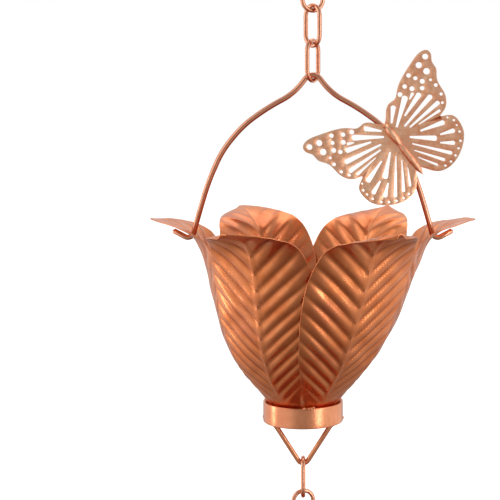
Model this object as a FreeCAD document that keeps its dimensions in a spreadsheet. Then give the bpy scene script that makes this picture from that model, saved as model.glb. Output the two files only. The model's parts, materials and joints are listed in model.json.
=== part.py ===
# Rain chain: a gutter hook, a ring, ten petalled cups and the wire links between them.
# Millimetres, +Z up. The origin is midway between the hook's feet, on the plane that they rest on,
# and the chain hangs straight down from it. Front is -Y.
import FreeCAD
import Part
import Sketcher
import math
import os

os.makedirs("parts", exist_ok=True)
doc = FreeCAD.newDocument("rain_chain")
Vector = FreeCAD.Vector
Rotation = FreeCAD.Rotation
Placement = FreeCAD.Placement

# Driving dimensions, in millimetres and degrees, one cell each
SIZES = (
    # gutter hook: a flat strap bent to a V, with a foot on each arm
    ("strap_width", 15.0),
    ("strap_thick", 2.0),
    ("strap_bend", 4.0),
    ("hook_foot", 30.0),
    ("hook_half_span", 51.0),
    ("hook_drop", 90.0),
    ("hook_vertex_bend", 6.0),
    ("hook_hole_rise", 11.0),
    ("hook_hole_play", 1.6),
    # ring through the hook
    ("ring_wire", 3.0),
    ("ring_radius", 8.5),
    # oval chain link
    ("link_wire", 2.2),
    ("link_inside_length", 17.1),
    ("link_inside_width", 8.3),
    ("hang_gap", 0.2),
    # collar at the foot of a cup
    ("collar_radius", 20.0),
    ("collar_wall", 0.8),
    ("collar_height", 10.3),
    ("collar_edge", 0.35),
    # hanging loop soldered in the collar
    ("loop_wire", 2.5),
    ("loop_depth", 24.6),
    ("loop_half_span", 13.6),
    ("loop_bend", 3.0),
    ("loop_end_height", 1.4),
    ("loop_end_inset", 1.1),
    # petals
    ("petal_sheet", 0.5),
    ("petal_seat_gap", 0.5),
    ("petal_base_height", 3.4),
    ("petal_half_width", 28.0),
    ("petal_lift", 2.1),
    ("hero_sway", 5.0),
    ("vein_spacing_foot", 5.6),
    ("vein_spacing_tip", 9.6),
    ("vein_relief", 0.5),
    ("vein_slope", 0.95),
    # bail
    ("bail_wire", 2.7),
    ("bail_crown_bend", 4.5),
    ("bail_apex", 174.7),
    ("bail_hole_play", 0.95),
    ("bail_seat_radius", 59.0),
    ("bail_seat_height", 94.0),
    ("bail_tail", 8.6),
    ("bail_tail_drop", 3.1),
    ("bail_tail_rise", 4.6),
    # butterfly on the bail
    ("wing_half_span", 38.8),
    ("wing_sheet", 0.7),
    ("wing_raise", 12.0),
    ("wing_turn", 38.0),
    ("wing_seat_out", 40.5),
    ("wing_seat_height", 141.0),
    ("insect_body_radius", 2.1),
)

# Outline of a petal's middle line, from its foot to its tip: distance from the cup's axis, height
PETAL_PROFILE = (
    (18.15, 10.4), (20.4, 14.0), (27.5, 22.9), (37.4, 38.6), (46.9, 63.5), (52.3, 81.5), (59.0, 94.0),
    (69.0, 99.3), (80.0, 101.6),
)
# Half the width of a petal at shares of its length, from its foot to its blunt tip
PETAL_WIDTHS = (
    (0.0, 8.8), (0.06, 9.0), (0.17, 14.4), (0.32, 21.9), (0.53, 27.4), (0.62, 28.0), (0.74, 25.7),
    (0.84, 20.8), (0.92, 14.6), (0.97, 8.4), (1.0, 2.2),
)
# Right half of the bail below its crown: distance from the cup's axis, height
BAIL_ARCH = ((9.3, 163.0), (22.0, 156.2), (34.0, 147.6), (44.5, 135.2), (51.5, 119.4), (56.0, 104.8))

# Right wing of the butterfly, from head to tail: distance from the body's axis, height above its middle
WING_DRAWN_SPAN = 38.8
FOREWING = (
    (0.0, 9.0), (2.0, 10.4), (4.8, 13.6), (8.2, 15.6), (11.4, 15.6), (15.6, 18.6), (22.4, 22.4),
    (30.6, 25.3), (36.0, 26.2), (38.8, 24.9), (38.9, 21.8), (37.4, 19.4), (36.9, 15.4), (34.6, 11.8),
    (33.4, 8.2), (32.9, 3.4), (30.8, -0.8), (27.4, -3.2), (24.6, -4.2),
)
HINDWING = (
    (24.6, -4.2), (28.4, -6.6), (30.2, -11.6), (28.9, -17.2), (25.0, -21.8), (19.2, -25.4),
    (12.4, -26.8), (7.4, -25.4), (3.1, -20.6), (0.0, -16.8),
)
# Cells cut in the wing: the narrow end, the wide end, the width
WING_CELLS = (
    (3.2, 7.2, 8.8, 13.0, 2.6), (4.0, 4.2, 16.2, 13.2, 3.0), (17.4, 11.2, 20.4, 12.6, 1.6),
    (10.6, 6.2, 22.6, 10.3, 2.6), (7.4, 2.2, 26.4, 6.2, 2.5), (9.2, 0.3, 27.6, 1.6, 2.2),
    (13.6, -1.2, 25.8, -1.9, 1.4),
    (12.2, -4.2, 23.6, -7.6, 2.5), (6.2, -3.4, 15.8, -11.4, 2.8), (18.8, -11.4, 25.2, -13.8, 2.3),
    (16.4, -14.6, 21.6, -18.6, 2.2), (5.2, -6.8, 17.6, -21.8, 1.9), (4.0, -10.0, 12.8, -22.4, 1.7),
    (3.4, -13.8, 8.6, -22.4, 1.3),
)
# Round holes in the wing: place and radius
WING_DOTS = (
    (15.2, 15.9, 1.2), (19.4, 17.6, 1.1), (21.6, 14.6, 1.2), (25.7, 11.8, 1.1), (24.2, 20.7, 1.1),
    (26.0, 17.6, 1.0), (27.8, 14.4, 1.2), (31.2, 21.6, 1.5), (32.4, 17.0, 1.6), (36.2, 23.0, 1.4),
    (31.4, 12.6, 0.7), (31.9, 9.0, 0.9), (31.3, 4.0, 0.8), (29.2, 0.3, 0.7), (26.8, -6.9, 0.5),
    (28.4, -9.8, 0.6), (28.1, -12.6, 0.5), (27.3, -15.9, 0.6), (24.9, -19.8, 0.6), (21.9, -22.2, 0.6),
    (18.6, -24.1, 0.6), (15.0, -25.2, 0.6), (11.6, -25.2, 0.6),
)
# Half of the insect's own outline along its axis: thickness as a share of its radius, place
INSECT_OUTLINE = (
    (0.0, 9.6), (0.72, 8.6), (0.62, 7.0), (0.98, 4.5), (0.95, 0.0), (0.60, -3.4), (0.82, -7.0),
    (0.86, -13.0), (0.62, -19.0), (0.0, -22.6),
)

# The cups from the top down: links above the cup, its turn about the chain, whether its foot is bent
# out of line to the left, and the angle at which its bail crosses the last of those links
CUPS = (
    (1, 180.0, 0, 90.0), (4, 180.0, 0, 90.0), (4, 180.0, 0, 90.0), (4, 180.0, 0, 90.0),
    (4, 0.0, 0, 90.0), (3, 64.0, 0, 90.0), (4, 180.0, 0, 90.0), (4, 180.0, 0, 90.0),
    (4, 0.0, 1, 60.0), (2, -50.0, 0, 70.0),
)

# Which margins of each petal lie over its neighbours: toward the next smaller turn, the next larger
PETALS = (
    (0.0, 0, 0), (60.0, 1, 1), (120.0, 0, 1), (180.0, 0, 0), (240.0, 1, 0), (300.0, 1, 1),
)

sheet = doc.addObject("Spreadsheet::Sheet", "sizes")
for row, (alias, value) in enumerate(SIZES, start=1):
    sheet.set("A%d" % row, alias)
    sheet.set("B%d" % row, str(value))
    sheet.setAlias("B%d" % row, alias)
doc.recompute()


def size(alias):
    """The value of one cell."""
    return float(sheet.get(alias))


def bind(target, **expressions):
    """Ties properties of an object to the sheet: each word of sizes is written as $word."""
    for name, words in expressions.items():
        target.setExpression(name, words.replace("$", "sizes."))
    return target


def body_plane(body, role):
    """One of a body's own origin planes."""
    return next(feature for feature in body.Origin.OriginFeatures if feature.Role == role)


def profile_sketch(body, name, corners):
    """A closed outline on the body's XZ plane: each corner is a pair of expressions of the sheet."""
    sketch = body.newObject("Sketcher::SketchObject", name)
    sketch.AttachmentSupport = [(body_plane(body, "XZ_Plane"), "")]
    sketch.MapMode = "FlatFace"
    places = [[value_of(words) for words in corner] for corner in corners]
    count = len(corners)
    for index in range(count):
        start, end = places[index], places[(index + 1) % count]
        sketch.addGeometry(Part.LineSegment(Vector(*start, 0), Vector(*end, 0)), False)
    for index in range(count):
        sketch.addConstraint(Sketcher.Constraint("Coincident", index, 2, (index + 1) % count, 1))
    for index, corner in enumerate(corners):
        for kind, words, place in zip(("DistanceX", "DistanceY"), corner, places[index]):
            sketch.addConstraint(Sketcher.Constraint(kind, -1, 1, index, 1, place))
            constraint = "Constraints[%d]" % (sketch.ConstraintCount - 1)
            sketch.setExpression(constraint, words.replace("$", "sizes."))
    return sketch


def value_of(words):
    """What an expression of the sheet comes to now."""
    cell = "D1"
    sheet.set(cell, "=" + words.replace("$", ""))
    doc.recompute()
    value = float(sheet.get(cell))
    sheet.clear(cell)
    return value


def rounded_wire(points, radii):
    """Straight runs through the points, joined by tangent arcs of the given radii at the inner points."""
    edges = []
    start = points[0]
    for corner, after, radius in zip(points[1:-1], points[2:], radii):
        towards = (corner - start).normalize()
        onwards = (after - corner).normalize()
        turn = towards.getAngle(onwards)
        reach = radius * math.tan(turn / 2)
        bisector = (onwards - towards).normalize()
        middle = corner + bisector * (radius / math.cos(turn / 2) - radius)
        first, last = corner - towards * reach, corner + onwards * reach
        edges.append(Part.LineSegment(start, first).toShape())
        edges.append(Part.Arc(first, middle, last).toShape())
        start = last
    edges.append(Part.LineSegment(start, points[-1]).toShape())
    return Part.Wire(edges)


def free_radii(points, share=0.45):
    """The largest even bends: a share of the shorter run beside each inner point."""
    radii = []
    for before, corner, after in zip(points, points[1:], points[2:]):
        turn = (corner - before).getAngle(after - corner)
        run = min((corner - before).Length, (after - corner).Length)
        radii.append(share * run / math.tan(turn / 2))
    return radii


def path_feature(name, wire):
    """The middle line of a bent wire, as an object of its own."""
    path = doc.addObject("Part::Feature", name)
    path.Shape = wire
    return path


def wire_sweep(name, path, wire_size, start, along):
    """A round wire of the given cell's diameter, swept along a path from its start."""
    section = bind(doc.addObject("Part::Circle", name + "_section"), Radius="$%s / 2" % wire_size)
    section.Placement = Placement(start, Rotation(Vector(0, 0, 1), along))
    sweep = doc.addObject("Part::Sweep", name)
    sweep.Sections = [section]
    sweep.Spine = (path, ["Edge%d" % (i + 1) for i in range(len(path.Shape.Edges))])
    sweep.Solid = True
    sweep.Frenet = False
    return sweep


def make_hook():
    """The gutter hook: the strap swept along its V, less the two holes for the ring."""
    span, drop, foot = size("hook_half_span"), size("hook_drop"), size("hook_foot")
    lift = size("strap_thick") / 2
    points = [
        Vector(-span - foot, 0, lift), Vector(-span, 0, lift), Vector(0, 0, -drop),
        Vector(span, 0, lift), Vector(span + foot, 0, lift),
    ]
    bend = size("strap_bend")
    path = path_feature("hook_path", rounded_wire(points, (bend, size("hook_vertex_bend"), bend)))
    section = bind(
        doc.addObject("Part::Plane", "hook_section"), Length="$strap_thick", Width="$strap_width")
    section.Placement = Placement(
        points[0] + Vector(0, -size("strap_width") / 2, lift), Rotation(Vector(0, 1, 0), 90))
    strap = doc.addObject("Part::Sweep", "hook_strap")
    strap.Sections = [section]
    strap.Spine = (path, ["Edge%d" % (i + 1) for i in range(len(path.Shape.Edges))])
    strap.Solid = True
    drill = bind(
        doc.addObject("Part::Cylinder", "hook_drill"),
        Radius="($ring_wire + $hook_hole_play) / 2", Height="2 * $hook_half_span")
    drill.Placement = Placement(Vector(-span, 0, ring_line()), Rotation(Vector(0, 1, 0), 90))
    hook = doc.addObject("Part::Cut", "gutter_hook")
    hook.Base, hook.Tool = strap, drill
    return hook


def ring_line():
    """Height of the holes in the hook."""
    return size("hook_hole_rise") - size("hook_drop")


def make_ring():
    """The ring: a torus that stands in the hook's own plane and hangs in its holes."""
    ring = bind(
        doc.addObject("Part::Torus", "hook_ring"), Radius1="$ring_radius", Radius2="$ring_wire / 2")
    # the ring falls away from the line of the holes between the arms, so it hangs by its shoulders
    ring.Placement = Placement(
        Vector(0, 0, ring_line() + ring_sag() - size("ring_radius")), Rotation(Vector(1, 0, 0), 90))
    return ring


def ring_sag():
    """How far the top of the ring rises above the holes, where it passes through the two arms."""
    arm = size("hook_half_span") * size("hook_hole_rise") / size("hook_drop")
    return size("ring_radius") - math.sqrt(size("ring_radius") ** 2 - arm ** 2)


def make_link():
    """One oval link about its own centre, standing in the XZ plane."""
    wire = size("link_wire")
    bend = (size("link_inside_width") + wire) / 2
    straight = (size("link_inside_length") + wire) / 2 - bend
    side, top = Vector(bend, 0, 0), Vector(0, 0, straight)
    crown = Vector(0, 0, straight + bend)
    edges = [
        Part.LineSegment(side - top, side + top).toShape(),
        Part.Arc(side + top, crown, top - side).toShape(),
        Part.LineSegment(top - side, -side - top).toShape(),
        Part.Arc(-side - top, -crown, side - top).toShape(),
    ]
    path = path_feature("link_path", Part.Wire(edges))
    return wire_sweep("link", path, "link_wire", side - top, 0.0)


def make_collar():
    """The collar, turned from its section with eased rims, with the hanging loop soldered inside."""
    body = doc.addObject("PartDesign::Body", "collar_ring")
    inner, outer = "$collar_radius - $collar_wall", "$collar_radius"
    ease, top = "$collar_edge", "$collar_height"
    corners = (
        (inner, "0 * $collar_wall"), (outer + " - " + ease, "0 * $collar_wall"), (outer, ease),
        (outer, top + " - " + ease), (outer + " - " + ease, top), (inner, top),
    )
    sketch = profile_sketch(body, "collar_section", corners)
    turn = body.newObject("PartDesign::Revolution", "collar_turn")
    turn.Profile = sketch
    turn.ReferenceAxis = (sketch, ["V_Axis"])
    turn.Angle = 360
    body.Tip = turn
    reach = size("collar_radius") - size("loop_end_inset")
    end, knee = Vector(reach, 0, size("loop_end_height")), Vector(size("loop_half_span"), 0, -3.0)
    points = [mirrored(end), mirrored(knee), Vector(0, 0, -size("loop_depth")), knee, end]
    bend = size("loop_bend")
    path = path_feature("loop_path", rounded_wire(points, (bend, bend, bend)))
    start = points[0]
    along = points[1] - points[0]
    section = bind(doc.addObject("Part::Circle", "loop_section"), Radius="$loop_wire / 2")
    section.Placement = Placement(start, Rotation(Vector(0, 0, 1), along))
    loop = doc.addObject("Part::Sweep", "hanging_loop")
    loop.Sections = [section]
    loop.Spine = (path, ["Edge%d" % (i + 1) for i in range(len(path.Shape.Edges))])
    loop.Solid = True
    collar = doc.addObject("Part::Fuse", "collar")
    collar.Base, collar.Tool = body, loop
    return collar


def mirrored(point):
    """The same place on the left."""
    return Vector(-point.x, point.y, point.z)


def bail_points():
    """Corners of the bail from its left tail over the crown to its right tail."""
    seat, height = size("bail_seat_radius"), size("bail_seat_height")
    heel = Vector(seat + 0.9, 0, height - size("bail_tail_drop"))
    tail = heel + Vector(size("bail_tail"), 0, size("bail_tail_rise"))
    right = [Vector(out, 0, up) for out, up in BAIL_ARCH] + [heel, tail]
    return [mirrored(point) for point in reversed(right)] + [Vector(0, 0, size("bail_apex"))] + right


def make_bail():
    """The bail: one bent wire with even bends, tight only at the crown, the shoulders and the heels."""
    points = bail_points()
    radii = free_radii(points)
    crown = len(radii) // 2
    radii[crown] = size("bail_crown_bend")
    heel_bend = 1.1 * size("bail_wire")
    radii[0] = radii[-1] = heel_bend
    path = path_feature("bail_path", rounded_wire(points, radii))
    return wire_sweep("bail", path, "bail_wire", points[0], points[1] - points[0])


def crown_height():
    """Height of the wire's middle at the top of the crown."""
    shoulder = BAIL_ARCH[0]
    half_angle = math.atan2(shoulder[0], size("bail_apex") - shoulder[1])
    return size("bail_apex") - size("bail_crown_bend") * (1 / math.sin(half_angle) - 1)


def smooth_curve(table):
    """A function through the table's points, with no overshoot between them."""
    places = [row[0] for row in table]
    values = [row[1] for row in table]
    steps = [(b - a) / (q - p) for a, b, p, q in zip(values, values[1:], places, places[1:])]
    slopes = [steps[0]]
    for before, after in zip(steps, steps[1:]):
        slopes.append(0.0 if before * after <= 0 else 2 * before * after / (before + after))
    slopes.append(steps[-1])

    def curve(place):
        index = max(i for i in range(len(places) - 1) if i == 0 or places[i] <= place)
        width = places[index + 1] - places[index]
        part = (place - places[index]) / width
        rise, rest = part * part * (3 - 2 * part), 1 - part
        bulge = width * part * rest * (rest * slopes[index] - part * slopes[index + 1])
        return values[index] * (1 - rise) + values[index + 1] * rise + bulge

    return curve


class PetalForm:
    """The middle surface of a petal, addressed by the way along its middle line and out from it."""

    def __init__(self, over_before, over_after, sway):
        self.sway = sway
        sheet_half = size("petal_sheet") / 2
        foot = size("collar_radius") - size("collar_wall") - size("petal_seat_gap") - sheet_half
        points = [Vector(foot, 0, size("petal_base_height"))]
        points += [Vector(out, 0, up) for out, up in PETAL_PROFILE]
        self.line = Part.BSplineCurve()
        self.line.interpolate(points)
        self.length = self.line.length()
        widest = max(width for _, width in PETAL_WIDTHS)
        scale = size("petal_half_width") / widest
        fixed = size("petal_half_width")
        rows = [(share * self.length, min(width * scale, fixed)) for share, width in PETAL_WIDTHS]
        self.half_width = smooth_curve(rows)
        self.over = {-1: over_before, 1: over_after}

    def place(self, along, across, relief, layer):
        """A point of the sheet: layer is -1 on its inside and 1 on its outside."""
        parameter = self.line.parameterAtDistance(min(along, self.length * 0.99999))
        middle = self.line.value(parameter)
        tangent = self.line.tangent(parameter)[0]
        normal = Vector(tangent.z, 0, -tangent.x)
        # across its width the sheet follows the cup round its axis, and flattens as it flares
        bow = middle.x / max(normal.x, 0.2)
        turn = across / bow
        outward = normal * math.cos(turn) + Vector(0, math.sin(turn), 0)
        share = abs(across) / self.half_width(along)
        free = min(max((along - 8.0) / 24.0, 0.0), 1.0)
        lift = self.over[1 if across > 0 else -1] * size("petal_lift") * free * share ** 2
        out = bow + relief + lift + layer * size("petal_sheet") / 2
        point = middle - normal * bow + outward * out
        return point + self.sway * foot_share(point.z)

    def vein_starts(self, first):
        """Where ridges and furrows leave the middle line, wider apart toward the tip."""
        starts, start = [], first
        while start < self.length - 0.7 * size("vein_spacing_tip"):
            starts.append(start)
            share = start / self.length
            spacing = size("vein_spacing_foot") * (1 - share) + size("vein_spacing_tip") * share
            start += spacing / 2
        return starts

    def vein_end(self, start):
        """Where the vein that leaves the middle line at start meets the margin."""
        low, high = start, self.length
        for _ in range(40):
            middle = (low + high) / 2
            if middle - start < size("vein_slope") * self.half_width(middle):
                low = middle
            else:
                high = middle
        return low


def foot_share(height):
    """How much of a sway at the foot is left at a height of the cup: all at its collar, none at its rim."""
    low = size("collar_height") + 4.0
    part = min(max((height - low) / (size("bail_seat_height") - low), 0.0), 1.0)
    return 1 - part * part * (3 - 2 * part)


def bowed_edge(first, middle, last):
    """An arc through three places, or a straight edge where they lie in line."""
    if (middle - (first + last) / 2).Length < 0.02:
        return Part.LineSegment(first, last).toShape()
    return Part.Arc(first, middle, last).toShape()


def petal_ribs(form, side, layer):
    """The ridges and furrows of one half of the sheet, as edges from the middle line to the margin."""
    # the foot stays plain as far as the collar reaches
    clear = size("collar_height") + size("petal_seat_gap") - size("petal_base_height")
    rows = [(0.0, 0.0, 0.0), (clear, clear, 0.0)]
    for index, start in enumerate(form.vein_starts(clear + 0.5 * size("vein_spacing_foot"))):
        fade = min(1.0, start / 25.0) * min(1.0, (form.length - start) / 20.0)
        height = size("vein_relief") * fade * (1 if index % 2 else -1)
        rows.append((start, form.vein_end(start), height))
    rows.append((form.length, form.length, 0.0))
    ribs = []
    for index, (start, end, height) in enumerate(rows):
        if index == len(rows) - 1:
            start, end = form.length, form.length - 0.4
        way = (start + end) / 2
        width = form.half_width(end)
        first = form.place(start, 0.0, 0.0, layer)
        middle = form.place(way, side * width / 2, height, layer)
        last = form.place(end, side * width, 0.6 * height, layer)
        ribs.append(bowed_edge(first, middle, last))
    return ribs


def ends_of(edge):
    """The first and last place of an edge."""
    return edge.valueAt(edge.FirstParameter), edge.valueAt(edge.LastParameter)


def petal_solid(over_before, over_after, sway):
    """An embossed sheet: ruled faces from rib to rib on both skins, closed round the rim."""
    form = PetalForm(over_before, over_after, sway)
    faces = []
    ribs = {(side, layer): petal_ribs(form, side, layer) for side in (-1, 1) for layer in (-1, 1)}
    for edges in ribs.values():
        faces += [Part.makeRuledSurface(lower, upper) for lower, upper in zip(edges, edges[1:])]
    for side in (-1, 1):
        inside, outside = ribs[side, -1], ribs[side, 1]
        faces.append(Part.makeRuledSurface(inside[0], outside[0]))
        faces.append(Part.makeRuledSurface(inside[-1], outside[-1]))
        rims = [[ends_of(edge)[1] for edge in edges] for edges in (inside, outside)]
        for index in range(len(inside) - 1):
            lower, upper = [
                Part.LineSegment(rim[index], rim[index + 1]).toShape() for rim in rims]
            faces.append(Part.makeRuledSurface(lower, upper))
    skin = Part.makeCompound(faces)
    skin.sewShape()
    solid = Part.Solid(skin.Shells[0])
    if solid.Volume < 0:
        solid.reverse()
    return solid


def make_petal(cup_name, sway, turn, over_before, over_after):
    """One petal at its place round the cup, with the bail's hole if it stands at the cup's side."""
    name = "%s_petal_%03d" % (cup_name, turn)
    petal = doc.addObject("Part::Feature", name)
    bend = Rotation(Vector(0, 0, 1), -turn).multVec(Vector(-sway, 0, 0))
    petal.Shape = petal_solid(over_before, over_after, bend)
    petal.Placement = Placement(Vector(), Rotation(Vector(0, 0, 1), turn))
    if turn % 180:
        return petal
    arch = bail_points()
    heel, above = (arch[-2], arch[-3]) if turn == 0 else (arch[1], arch[2])
    drill = bind(
        doc.addObject("Part::Cylinder", name + "_drill"),
        Radius="($bail_wire + 2 * $bail_hole_play) / 2", Height="8 * $bail_wire")
    along = (above - heel).normalize()
    drill.Placement = Placement(
        bail_seat(turn) - along * (4 * size("bail_wire")), Rotation(Vector(0, 0, 1), along))
    pierced = doc.addObject("Part::Cut", name + "_pierced")
    pierced.Base, pierced.Tool = petal, drill
    return pierced


def bail_seat(turn):
    """Where the bail passes through the side petal at this turn."""
    side = 1 if turn == 0 else -1
    return Vector(side * size("bail_seat_radius"), 0, size("bail_seat_height"))


def wing_outline(points, side, scale):
    """A closed wing: a smooth curve through the points, closed by a straight edge at the body."""
    places = [Vector(side * out * scale, 0, up * scale) for out, up in points]
    curve = Part.BSplineCurve()
    curve.interpolate(places)
    return Part.Wire([curve.toShape(), Part.LineSegment(places[-1], places[0]).toShape()])


def cell_outline(cell, side, scale):
    """A cell between two veins: pointed at the body's end, round at the margin's end."""
    out, up, far_out, far_up, width = [value * scale for value in cell]
    near, far = Vector(side * out, 0, up), Vector(side * far_out, 0, far_up)
    along = (far - near).normalize()
    across = Vector(along.z, 0, -along.x) * (width / 2)
    tip = far + along * (width / 3)
    arc = Part.Arc(far + across, tip, far - across).toShape()
    near_across = across * 0.35
    return Part.Wire([
        Part.LineSegment(near + near_across, far + across).toShape(), arc,
        Part.LineSegment(far - across, near - near_across).toShape(),
        Part.LineSegment(near - near_across, near + near_across).toShape(),
    ])


def wing_solid(side):
    """The two wings of one side, cut from one sheet with their cells and dots, and raised."""
    scale = size("wing_half_span") / WING_DRAWN_SPAN
    through = Vector(0, -size("wing_sheet"), 0)
    wing = Part.Face(wing_outline(FOREWING + HINDWING[1:], side, scale)).extrude(through)
    cutters = [Part.Face(cell_outline(cell, side, scale)).extrude(through * 3) for cell in WING_CELLS]
    for out, up, radius in WING_DOTS:
        place = Vector(side * out * scale, 0, up * scale)
        cutters.append(Part.makeCylinder(radius * scale, -3 * through.y, place, Vector(0, -1, 0)))
    for cutter in cutters:
        cutter.translate(-through)
    wing = wing.cut(cutters)
    wing.rotate(Vector(), Vector(0, 0, 1), -side * size("wing_raise"))
    return wing


def make_butterfly():
    """The butterfly: both wing sheets and the turned body, one soldered piece on the bail's front."""
    wings = doc.addObject("Part::Feature", "wings")
    wings.Shape = wing_solid(-1).fuse(wing_solid(1))
    body = doc.addObject("PartDesign::Body", "insect_body")
    scale = "$wing_half_span / %.1f" % WING_DRAWN_SPAN
    corners = [
        ("$insect_body_radius * %.2f" % out, "%.1f * %s" % (up, scale)) for out, up in INSECT_OUTLINE]
    sketch = profile_sketch(body, "insect_section", corners)
    turn = body.newObject("PartDesign::Revolution", "insect_turn")
    turn.Profile = sketch
    turn.ReferenceAxis = (sketch, ["V_Axis"])
    turn.Angle = 360
    body.Tip = turn
    body.Placement = Placement(Vector(0, -size("wing_sheet"), 0), Rotation())
    front = doc.addObject("Part::Box", "front_of_bail")
    bind(front, Length="4 * $wing_half_span", Width="4 * $insect_body_radius", Height="4 * $wing_half_span")
    reach = 2 * size("wing_half_span")
    front.Placement = Placement(Vector(-reach, -4 * size("insect_body_radius"), -reach), Rotation())
    raised = doc.addObject("Part::Common", "raised_body")
    raised.Base, raised.Tool = body, front
    insect = doc.addObject("Part::Fuse", "butterfly")
    insect.Base, insect.Tool = wings, raised
    seat = Vector(size("wing_seat_out"), -size("bail_wire") / 2, size("wing_seat_height"))
    insect.Placement = Placement(seat, Rotation(Vector(0, 1, 0), -size("wing_turn")))
    return insect


def copy_of(master, name, placement):
    """The same piece again, at its own place."""
    link = doc.addObject("App::Link", name)
    link.LinkedObject = master
    link.Placement = placement.multiply(master.Placement)
    return link


def group_of(name, pieces):
    """Several separate pieces in one node."""
    group = doc.addObject("Part::Compound", name)
    group.Links = pieces
    return group


def link_turns(count, above, below, crossing):
    """The turn of each link in a gap, in even steps as near to a quarter turn as the cups allow."""
    start = above + 90.0
    sweep = below + crossing - start
    if count == 1:
        return [start]
    half_turns = round((90.0 * (count - 1) - sweep) / 180.0)
    step = (sweep + 180.0 * half_turns) / (count - 1)
    return [start + step * index for index in range(count)]


def hang_links(master, name, hook, wire, turns):
    """A run of links below a wire: returns the node and the middle of the last link's lower wire."""
    reach = size("link_inside_length") + size("link_wire")
    over = (size(wire) + size("link_wire")) / 2 + size("hang_gap")
    pitch = size("link_inside_length") - size("hang_gap")
    pieces = []
    middle = hook + Vector(0, 0, over - reach / 2)
    for index, turn in enumerate(turns, start=1):
        place = Placement(middle, Rotation(Vector(0, 0, 1), turn))
        pieces.append(copy_of(master, "%s_piece_%d" % (name, index), place))
        middle = middle - Vector(0, 0, pitch)
    last = middle + Vector(0, 0, pitch - reach / 2)
    return group_of(name, pieces), last


def build():
    """Hangs the whole chain from the hook down, and returns the nodes."""
    hook, ring = make_hook(), make_ring()
    link, collar, bail, butterfly = make_link(), make_collar(), make_bail(), make_butterfly()
    petals = {
        False: [make_petal("even", 0.0, *row) for row in PETALS],
        True: [make_petal("bent", size("hero_sway"), *row) for row in PETALS],
    }
    doc.recompute()
    nodes = [hook, ring]
    hang = ring.Placement.Base - Vector(0, 0, size("ring_radius"))
    wire, turn_above = "ring_wire", 0.0
    to_link = (size("bail_wire") + size("link_wire")) / 2 + size("hang_gap")
    pivot = Vector(0, 0, crown_height() - to_link)
    for order, (count, turn, bent, crossing) in enumerate(CUPS):
        number = "%02d" % (len(CUPS) - order)
        places = {"hang": hang, "above": turn_above}
        turns = link_turns(count, turn_above, turn, crossing)
        links, hang = hang_links(link, "links_" + number, hang, wire, turns)
        turned = Rotation(Vector(0, 0, 1), turn)
        place = Placement(hang - turned.multVec(pivot), turned)
        foot = place.multiply(Placement(Vector(-size("hero_sway") * bent, 0, 0), Rotation()))
        nodes += [
            links,
            copy_of(bail, "bail_" + number, place),
            copy_of(butterfly, "butterfly_" + number, place),
            group_of("petals_" + number, [
                copy_of(petal, "petal_%s_%d" % (number, i), place)
                for i, petal in enumerate(petals[bool(bent)], 1)]),
            copy_of(collar, "collar_" + number, foot),
        ]
        vertex_height = loop_vertex_height()
        hang = foot.multVec(Vector(0, 0, vertex_height))
        wire, turn_above = "loop_wire", turn
        places.update(pivot=place.multVec(pivot), link=turns[-1], foot=foot.Base, turn=turn)
        places.update(right=place.multVec(bail_seat(0)), left=place.multVec(bail_seat(180)), loop=hang)
        report(number, places)
    doc.recompute()
    return nodes


def report(number, places):
    """Prints where a unit's hinges lie, in millimetres and degrees."""
    words = []
    for name, place in places.items():
        values = (place.x, place.y, place.z) if hasattr(place, "x") else (place,)
        words.append("%s=%s" % (name, ",".join("%.4f" % value for value in values)))
    print("unit", number, *words)


def loop_vertex_height():
    """Height of the wire's middle at the bottom of the hanging loop."""
    half_angle = math.atan2(size("loop_half_span"), size("loop_depth") - 3.0)
    return -size("loop_depth") + size("loop_bend") * (1 / math.sin(half_angle) - 1)


def main():
    """Builds, checks and writes every node."""
    nodes = build()
    for item in doc.Objects:
        if "Invalid" in item.State or "Error" in item.State:
            raise RuntimeError("failed: %s %s" % (item.Label, item.State))
    for node in nodes:
        shape = Part.getShape(node)
        if shape.isNull() or not shape.isValid():
            raise RuntimeError("bad shape: " + node.Label)
        shape.exportStep("parts/%s.step" % node.Label)
        print(node.Label, len(shape.Solids), round(shape.Volume, 1))


main()
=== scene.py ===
"""Rain chain of petalled copper cups: the finish and the fine forms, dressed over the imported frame.

Lengths are in millimetres inside the classes and in metres in the meshes. Each cup is worked out in its
own frame: the origin at the foot of its collar, x through the two holes of its bail, y to the back and
z up its axis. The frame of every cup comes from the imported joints, so nothing is placed by hand.
"""

from __future__ import annotations

import json
import logging
import math
from dataclasses import dataclass, field
from enum import Enum

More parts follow.
